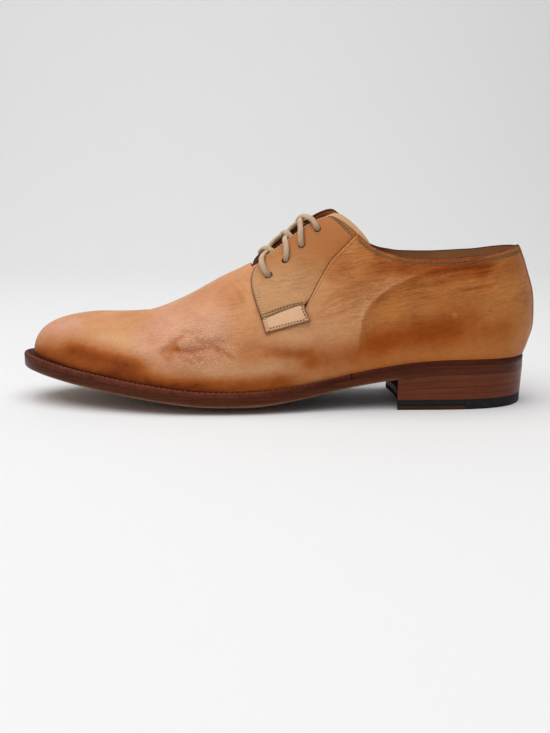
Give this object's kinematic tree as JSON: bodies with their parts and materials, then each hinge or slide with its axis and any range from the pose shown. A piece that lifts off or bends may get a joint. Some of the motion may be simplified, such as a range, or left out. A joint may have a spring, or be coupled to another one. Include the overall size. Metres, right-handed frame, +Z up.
{
  "type": "derby shoe",
  "caption": "Left derby shoe with a plain toe: hollow leather upper with lapped facings, tongue and lace, on a welted leather sole with a stacked heel.",
  "frame": {"origin": "on the floor, under the middle of the whole shoe's bounding box", "axes": "+X along the shoe to the toe, +Y to its outer (lateral) side, +Z up"},
  "size_m": [0.3154, 0.1004, 0.1156],
  "materials": {
    "tan_calf": "smooth tan calf, lightly polished",
    "facing_calf": "smooth tan calf, a little paler",
    "tongue_calf": "pale tan calf",
    "brown_sole_leather": "dark brown sole leather with a waxed edge",
    "brown_welt_leather": "mid brown welt leather",
    "stacked_heel_leather": "stacked brown leather lifts with a waxed edge",
    "black_heel_rubber": "matt black rubber",
    "insole_leather": "natural insole leather",
    "beige_lace_cotton": "waxed beige cotton"
  },
  "bodies": {
    "root": {"upper": "tan_calf", "facing_lateral": "facing_calf", "facing_medial": "facing_calf", "tongue": "tongue_calf", "lace_low": "beige_lace_cotton", "lace_middle": "beige_lace_cotton", "lace_top": "beige_lace_cotton", "insole": "insole_leather", "welt": "brown_welt_leather", "heel_rand": "brown_sole_leather", "outsole": "brown_sole_leather", "heel_stack": "stacked_heel_leather", "heel_rubber": "black_heel_rubber", "heel_insert": "stacked_heel_leather"}
  },
  "joints": []
}
